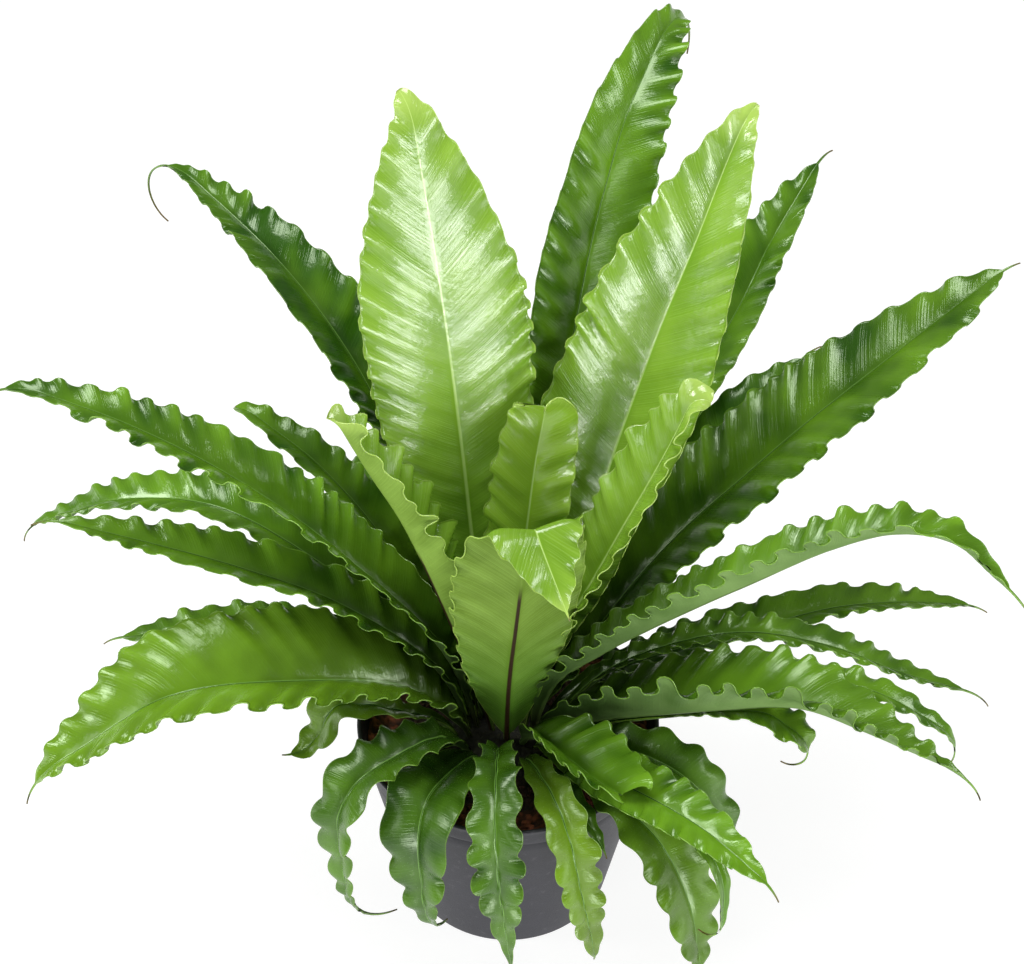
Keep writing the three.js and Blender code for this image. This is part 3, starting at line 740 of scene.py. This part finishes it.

# Noise scales of a blade, and the light and dark of its colour: what the cloud adds to it, the
# painted shade and painted light that the pleats add in their valleys and on their crests, and
# its middle
CLOUD_SCALE = 26
GRAIN_SCALE = 900
DIMPLE_SCALE = 170
CLOUD_LEVEL = 1.8
PLEAT_SHADE_LEVEL = 0.2
MIDDLE_LEVEL = 0.42


def leaf_material(name, look, under):
    shader = Shader(name)
    across, edge, vein = shader.attribute("place")
    pleat, along, dry = shader.attribute("tone")
    tint, shade, _ = shader.attribute("kind")
    across = shader.math("ABSOLUTE", across)
    cloud = shader.noise(CLOUD_SCALE)
    grain = shader.noise(GRAIN_SCALE)
    clouded = shader.times(shader.math("SUBTRACT", cloud, 0.5), CLOUD_LEVEL)
    # The pleats paint shade into their valleys and light onto their crests
    level = shader.plus(clouded, shader.times(pleat, PLEAT_SHADE_LEVEL), shade, MIDDLE_LEVEL)
    level = shader.math("MINIMUM", shader.math("MAXIMUM", level, 0), 1)
    low, high = ("under_dark", "under_light") if under else ("dark", "light")
    colour = shader.mix(level, look[low], look[high])
    colour = shader.mix(tint, colour, look["yellow"])
    # Painted shade: each blade darkens towards its base, deep in the crown
    painted_base_shade = shader.times(shader.step(along, *PAINTED_SHADE_ALONG), 0.75)
    colour = shader.mix(painted_base_shade, colour, look["painted_base_shade"])
    line = shader.step(shader.streaks(vein, VEINS_PER_MM), *VEIN_LEVELS)
    line = shader.times(line, shader.step(across, *VEINS_ACROSS))
    colour = shader.mix(shader.times(line, look["veins"]), colour, look["rib_side"])
    fade = shader.math("SUBTRACT", 1.15, along)
    if under:
        rib = shader.step(across, *UNDER_RIB_ACROSS)
        rib = shader.times(rib, shader.step(along, *UNDER_RIB_ALONG))
        colour = shader.mix(rib, colour, look["under_rib"])
    else:
        wide = shader.math("DIVIDE", across, fade)
        near = shader.step(wide, look["rib_side_half"] + 0.35, look["rib_side_half"] - 0.25)
        colour = shader.mix(shader.times(near, 0.75), colour, look["rib_side"])
        rib = shader.step(wide, look["rib_half"] + 0.25, look["rib_half"] - 0.15)
        colour = shader.mix(rib, colour, look["rib"])
    rim = shader.times(shader.step(edge, *RIM_ACROSS), look["rim"])
    colour = shader.mix(rim, colour, look["margin"])
    tip = shader.times(shader.step(along, *PALE_TIP_ALONG), look["pale_tip"])
    colour = shader.mix(tip, colour, look["margin"])
    foot = shader.times(shader.step(along, *BROWN_FOOT_ALONG), 0.85)
    colour = shader.mix(foot, colour, STALK_BROWN)
    colour = shader.mix(shader.times(dry, 0.9), colour, BROWN)
    shader.set("Base Color", colour)
    rough = 0.55 if under else look["gloss"]
    shader.set("Roughness", shader.plus(rough, shader.times(grain, 0.08), shader.times(dry, 0.3)))
    shader.set("Specular IOR Level", 0.3 if under else look["shine"])
    shader.set("Specular Tint", look["sheen"])
    dimples = shader.times(shader.noise(DIMPLE_SCALE), 2.4)
    relief = shader.plus(shader.times(line, 0.6), shader.times(grain, 0.5), dimples)
    shader.bump(relief, 0.00012 if under else 0.00009)
    return shader.material


def pot_materials():
    outside = Shader("pot_plastic")
    cloud = outside.noise(40, 3)
    grain = outside.noise(1500, 2)
    dust = outside.noise(160, 4, 0.7)
    colour = outside.mix(cloud, paint(27, 27, 34), paint(38, 38, 47))
    dusty = outside.times(outside.step(dust, 0.55, 0.8), 0.25)
    colour = outside.mix(dusty, colour, paint(120, 116, 120))
    outside.set("Base Color", colour)
    outside.set("Roughness", outside.plus(0.42, outside.times(grain, 0.2)))
    outside.bump(outside.plus(grain, outside.times(dust, 0.6)), 0.00012)
    # The inner wall is a darker copy of the pot's plastic: painted shade
    inside = Shader("pot_inside")
    inside.set("Base Color", inside.mix(inside.noise(60, 3), paint(14, 13, 14), paint(30, 28, 30)))
    inside.set("Roughness", inside.plus(0.5, inside.times(inside.noise(1200), 0.2)))
    return [outside.material, inside.material]


def soil_material():
    shader = Shader("soil_coir")
    cell, crevice_shade, shade = shader.attribute("tone")
    fibre = shader.noise(420, 4, 0.7, stretch=(1, 0.3, 1))
    colour = shader.mix(cell, paint(72, 35, 21), paint(165, 88, 56))
    pale = shader.times(shader.step(fibre, 0.5, 0.75), 0.5)
    colour = shader.mix(pale, colour, paint(140, 92, 60))
    # Painted shade: the crevices between cells are darkened almost to black
    colour = shader.mix(shader.times(crevice_shade, 0.85), colour, paint(14, 8, 6))
    colour = shader.mix(shader.times(shade, 0.85), colour, paint(20, 24, 10))
    shader.set("Base Color", colour)
    shader.set("Roughness", shader.plus(0.75, shader.times(fibre, 0.2)))
    shader.bump(shader.plus(fibre, shader.times(shader.noise(1600, 3), 0.5)), 0.0007)
    return shader.material


def crown_material():
    shader = Shader("crown_scales")
    cell, crevice_shade, _ = shader.attribute("tone")
    hair = shader.noise(600, 4, 0.7, stretch=(1, 1, 0.15))
    colour = shader.mix(cell, paint(22, 24, 10), paint(44, 46, 18))
    pale = shader.times(shader.step(hair, 0.5, 0.8), 0.5)
    colour = shader.mix(pale, colour, paint(70, 66, 32))
    # Painted shade: the crevices between cells are darkened almost to black
    colour = shader.mix(shader.times(crevice_shade, 0.8), colour, paint(10, 7, 4))
    shader.set("Base Color", colour)
    shader.set("Roughness", shader.plus(0.6, shader.times(hair, 0.3)))
    shader.bump(hair, 0.0005)
    return shader.material


def round_angles(segments):
    return np.arange(segments) * 2 * math.pi / segments


def band_faces(rings, segments):
    """Faces between rings of points that each go once round the axis."""
    faces = []
    for i in range(rings - 1):
        for j in range(segments):
            k = (j + 1) % segments
            a, b = i * segments, (i + 1) * segments
            faces.append((a + j, a + k, b + k, b + j))
    return faces


def lathe(profile, segments):
    """Points and faces of a closed turned shape whose profile starts and ends on the axis."""
    profile = np.array(profile, float)
    ring = round_angles(segments)
    inner = profile[1:-1]
    height = np.repeat(inner[:, 1:], segments, 1)
    places = np.stack([inner[:, :1] * np.cos(ring), inner[:, :1] * np.sin(ring), height], -1)
    places = places.reshape(-1, 3)
    rows = len(inner)
    faces = band_faces(rows, segments)
    low, high = len(places), len(places) + 1
    places = np.vstack([places, [0, 0, profile[0, 1]], [0, 0, profile[-1, 1]]])
    last = (rows - 1) * segments
    for j in range(segments):
        k = (j + 1) % segments
        faces.append((low, k, j))
        faces.append((high, last + j, last + k))
    return places, faces


def pot_inside(z):
    return mixed(POT_BASE_RADIUS, POT_RIM_RADIUS, z / POT_HEIGHT) - POT_WALL


def make_pot():
    band = POT_HEIGHT - POT_BAND_HEIGHT
    top_wall = POT_RIM_RADIUS - POT_BAND_STEP

    def outside(z):
        return mixed(POT_BASE_RADIUS, top_wall, z / POT_HEIGHT)

    turn = np.linspace(0, math.pi / 2, 5)
    r = POT_FOOT_ROUND
    foot = [(POT_BASE_RADIUS - r + r * math.sin(a) + 0.3, r - r * math.cos(a)) for a in turn]
    wall = [(outside(z), z) for z in np.linspace(3, band - 0.6, POT_WALL_ROWS)]
    step = [(outside(band) - 0.35, band - 0.1), (outside(band) + 0.1, band + 0.2),
            (outside(band) + POT_BAND_STEP - 0.3, band + 0.5),
            (outside(band) + POT_BAND_STEP, band + 1.0)]
    lip_start = POT_HEIGHT - POT_LIP_ROUND
    rim = [(outside(z) + POT_BAND_STEP, z) for z in np.linspace(band + 2, lip_start, 5)]
    middle = (POT_RIM_RADIUS + pot_inside(POT_HEIGHT)) / 2
    radius = (POT_RIM_RADIUS - pot_inside(POT_HEIGHT)) / 2
    lip = [(middle + radius * math.cos(a), lip_start + POT_LIP_ROUND * math.sin(a))
           for a in np.linspace(0.2, math.pi, 9)]
    rows = np.linspace(POT_HEIGHT - 2, POT_FLOOR + 1, POT_WALL_ROWS)
    inner = [(pot_inside(z), z) for z in rows]
    floor = [(pot_inside(POT_FLOOR) - 1, POT_FLOOR), (POT_BASE_RADIUS / 2, POT_FLOOR)]
    base = [(0, 0.6), (POT_BASE_RADIUS - 8, 0.6), (POT_BASE_RADIUS - 6, 0)]
    profile = [*base, *foot, *wall, *step, *rim, *lip, *inner, *floor, (0, POT_FLOOR)]
    places, faces = lathe(profile, POT_SEGMENTS)
    outer_rows = len(profile) - 2 - len(inner) - len(floor) - POT_LIP_INSIDE
    first = outer_rows * POT_SEGMENTS
    index = [int(min(f[:2]) >= first and max(f) < len(places) - 2) for f in faces]
    make_piece("pot_shell", "pot", places, faces, pot_materials(), index)


def polar_top(radii, segments, height_of):
    """Points of rings round the axis, from the outer one in, with their heights."""
    ring = round_angles(segments)
    x = np.outer(radii, np.cos(ring))
    y = np.outer(radii, np.sin(ring))
    return np.stack([x, y, height_of(x, y)], -1)


def cells(rng, count, radius):
    """Seeded points over a disc, a search tree of them, and a random value for each."""
    r = radius * np.sqrt(rng.uniform(0, 1, count))
    a = rng.uniform(0, 2 * math.pi, count)
    tree = kdtree.KDTree(count)
    for k in range(count):
        tree.insert((r[k] * math.cos(a[k]), r[k] * math.sin(a[k]), 0), k)
    tree.balance()
    return tree, rng.uniform(0, 1, count)


def raise_cells(grid, tree, value, relief):
    """Lifts each point of a top by its cell. Gives the cell's value and how near its border is."""
    most, least, sink = relief
    cell = np.zeros(grid.shape[:2])
    border = np.zeros(grid.shape[:2])
    for k in np.ndindex(cell.shape):
        first, second = tree.find_n((grid[k][0], grid[k][1], 0), 2)
        cell[k] = value[first[1]]
        border[k] = 1 - min((second[2] - first[2]) / CREVICE, 1)
    grid[..., 2] += (cell * most + least) * (1 - border ** 2) - sink
    return cell, border


def shaded(radius):
    return smooth((SHADE_RADIUS - radius) / SHADE_FADE)


def add_chips(rng, places, faces, values, spots, size):
    """Loose bits as small uneven boxes, half sunk where they lie."""
    corners = np.array([(x, y, z) for x in (-1, 1) for y in (-1, 1) for z in (-1, 1)], float)
    sides = ((0, 1, 3, 2), (4, 6, 7, 5), (0, 4, 5, 1), (2, 3, 7, 6), (0, 2, 6, 4), (1, 5, 7, 3))
    for spot in spots:
        shape = corners * size * rng.uniform(0.4, 1, 3) + rng.uniform(-0.25, 0.25, (8, 3)) * size
        a, b = rng.uniform(0, 2 * math.pi), rng.uniform(-0.5, 0.5)
        turn = np.array([[math.cos(a), -math.sin(a), 0], [math.sin(a), math.cos(a), 0], [0, 0, 1]])
        tilt = np.array([[math.cos(b), 0, math.sin(b)], [0, 1, 0], [-math.sin(b), 0, math.cos(b)]])
        start = len(places)
        places.extend((shape @ tilt.T @ turn.T + spot).tolist())
        faces.extend(tuple(start + c for c in f) for f in sides)
        shade = float(shaded(math.hypot(*spot[:2])))
        values.extend([(rng.uniform(0.2, 1), 0, shade)] * 8)


def soil_height(x, y):
    broad = np.sin(SOIL_BROAD_WAVE[0] * x + 1) * np.cos(SOIL_BROAD_WAVE[1] * y)
    fine = np.sin(SOIL_FINE_WAVE[0] * x - SOIL_FINE_WAVE[1] * y)
    return SOIL_TOP + SOIL_LUMP * (broad + 0.5 * fine)


def heaped(grid, low_rings):
    """Points and faces of a closed body: a grid over flat rings of (radius, height)."""
    rings, segments = grid.shape[:2]
    ring = round_angles(segments)
    low = np.stack([
        np.stack([r * np.cos(ring), r * np.sin(ring), np.full(segments, z)], -1)
        for r, z in low_rings
    ])
    places = np.concatenate([low, grid]).reshape(-1, 3)
    total = rings + len(low)
    faces = band_faces(total, segments)
    faces.append(tuple(range(segments))[::-1])
    faces.append(tuple(range((total - 1) * segments, total * segments)))
    return [tuple(p) for p in places], faces


def make_soil():
    rng = np.random.default_rng(SEED + 1)
    rings, segments = SOIL_GRID
    edge = pot_inside(SOIL_TOP) - GAP
    tree, value = cells(rng, SOIL_CELLS, edge)
    grid = polar_top(np.linspace(edge - 0.4, SOIL_INNER, rings), segments, soil_height)
    cell, border = raise_cells(grid, tree, value, SOIL_RELIEF)
    bottom = POT_FLOOR + GAP
    low = [(pot_inside(bottom) - GAP, bottom), (edge, SOIL_TOP - 3)]
    places, faces = heaped(grid, low)
    shade = shaded(np.hypot(grid[..., 0], grid[..., 1]))
    values = [HIDDEN_TONE] * (len(low) * segments)
    values += list(zip(cell.ravel(), border.ravel(), shade.ravel()))
    r = rng.uniform(CHIPS_INNER, edge - CHIPS_FROM_EDGE, CHIPS)
    a = rng.uniform(0, 2 * math.pi, CHIPS)
    x, y = r * np.cos(a), r * np.sin(a)
    spots = np.stack([x, y, soil_height(x, y) + CHIP_LIFT], 1)
    add_chips(rng, places, faces, values, spots, np.array(CHIP_HALF))
    looks = {"tone": np.array(values)}
    make_piece("soil_heap", "soil", places, faces, [soil_material()], None, looks)


def make_crown():
    rng = np.random.default_rng(SEED + 2)
    rings, segments = CROWN_GRID
    tree, value = cells(rng, CROWN_CELLS, CROWN_RADIUS)

    def dome(x, y):
        share = np.hypot(x, y) / CROWN_RADIUS
        return CROWN_TOP - 1 - CROWN_DROP * grown(share, *CROWN_SHOULDER)

    grid = polar_top(np.linspace(CROWN_RADIUS - 0.6, CROWN_INNER, rings), segments, dome)
    cell, border = raise_cells(grid, tree, value, CROWN_RELIEF)
    low = [(CROWN_RADIUS * 0.5, CROWN_BOTTOM), (CROWN_RADIUS - 0.4, CROWN_BOTTOM + 10),
           (CROWN_RADIUS - 0.4, SOIL_TOP - 2)]
    places, faces = heaped(grid, low)
    values = [HIDDEN_TONE] * (len(low) * segments)
    values += list(zip(cell.ravel(), border.ravel(), 0 * cell.ravel()))
    looks = {"tone": np.array(values)}
    make_piece("crown_dome", "crown", places, faces, [crown_material()], None, looks)


def make_floor():
    mesh = bpy.data.meshes.new("floor")
    corners = [(x * FLOOR_REACH, y * FLOOR_REACH, 0) for x, y in ((-1, -1), (1, -1), (1, 1), (-1, 1))]
    mesh.from_pydata(corners, [], [(0, 1, 2, 3)])
    shader = Shader("floor_paper")
    shade = shader.mix(shader.noise(3), paint(140, 140, 140), paint(146, 146, 146))
    shader.set("Base Color", shade)
    shader.set("Roughness", 0.9)
    shader.set("Emission Color", (1.0, 1.0, 1.0))
    shader.set("Emission Strength", FLOOR_GLOW)
    mesh.materials.append(shader.material)
    floor = bpy.data.objects.new("floor", mesh)
    bpy.context.scene.collection.objects.link(floor)


def make_light(name, place, aim, size, radiance):
    """A lamp of a given radiance that points at the height aim on the axis."""
    light = bpy.data.lights.new(name, "AREA")
    light.shape = "RECTANGLE"
    light.size, light.size_y = size
    light.energy = radiance * math.pi * size[0] * size[1]
    lamp = bpy.data.objects.new(name, light)
    bpy.context.scene.collection.objects.link(lamp)
    lamp.location = place
    lamp.visible_camera = False
    way = Vector((0, 0, aim)) - Vector(place)
    lamp.rotation_euler = way.to_track_quat("-Z", "Y").to_euler()


def make_stage():
    scene = bpy.context.scene
    camera = bpy.data.cameras.new("camera")
    camera.lens = CAMERA_LENS
    camera.sensor_width = CAMERA_SENSOR
    viewer = bpy.data.objects.new("camera", camera)
    scene.collection.objects.link(viewer)
    viewer.location = CAMERA_PLACE
    viewer.rotation_euler = (math.radians(CAMERA_TILT), 0, 0)
    scene.camera = viewer
    make_floor()
    for light in LIGHTS:
        make_light(*light)
    world = bpy.data.worlds.new("studio")
    world.use_nodes = True
    background = world.node_tree.nodes["Background"]
    background.inputs["Color"].default_value = (1, 1, 1, 1)
    background.inputs["Strength"].default_value = WORLD_LIGHT
    scene.world = world
    scene.view_settings.view_transform = "Standard"


make_stage()
make_pot()
make_soil()
make_crown()
mature = [leaf_material("mature_top", MATURE, False), leaf_material("mature_under", MATURE, True)]
loose = [leaf_material("loose_top", LOOSE, False), mature[1]]
young = [leaf_material("young_top", YOUNG, False), leaf_material("young_under", YOUNG, True)]
for number, own in enumerate(FRONDS, 1):
    loose_one = number in LOOSE_FRONDS
    frond = {**FROND_SHAPE, **own, **LOOKS.get(number, {}), "loose": loose_one}
    make_frond(number, frond, young if frond["young"] else loose if loose_one else mature)

bpy.context.view_layer.update()
